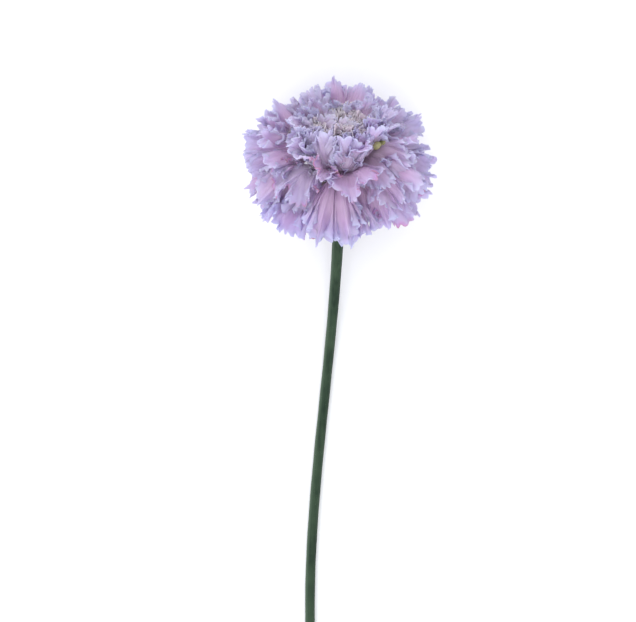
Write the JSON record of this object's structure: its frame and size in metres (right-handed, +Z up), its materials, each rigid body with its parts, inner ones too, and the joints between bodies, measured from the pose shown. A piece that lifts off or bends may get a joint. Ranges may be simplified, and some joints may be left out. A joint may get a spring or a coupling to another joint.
{
  "type": "cut scabiosa flower",
  "caption": "Cut pincushion-type flower lying on its side: a domed head of ruffled, lobed petals round a small-floreted disc, narrow bracts, and one long bent stem.",
  "frame": {"origin": "on the surface, under the centre of the flower's bounding box", "axes": "+Z up; +Y along the lying flower from its cut end towards its head; +X to the right seen from above with the head away from the viewer"},
  "size_m": [0.063, 0.1907, 0.0565],
  "materials": {
    "stem": "fine-ribbed, slightly hairy green stem, satin",
    "bracts": "dark green, matt, hairy",
    "ray_petals": "thin lilac petals, bluer at the margin and pinker towards the root, soft matt sheen",
    "disc_petals": "thin crinkled cream-pink petals, matt",
    "buds": "yellow-green, matt, hairy"
  },
  "bodies": {
    "root": {"stem": "stem", "involucre": "bracts", "ray_florets": "ray_petals", "disc_florets": "disc_petals", "buds": "buds"}
  },
  "joints": []
}
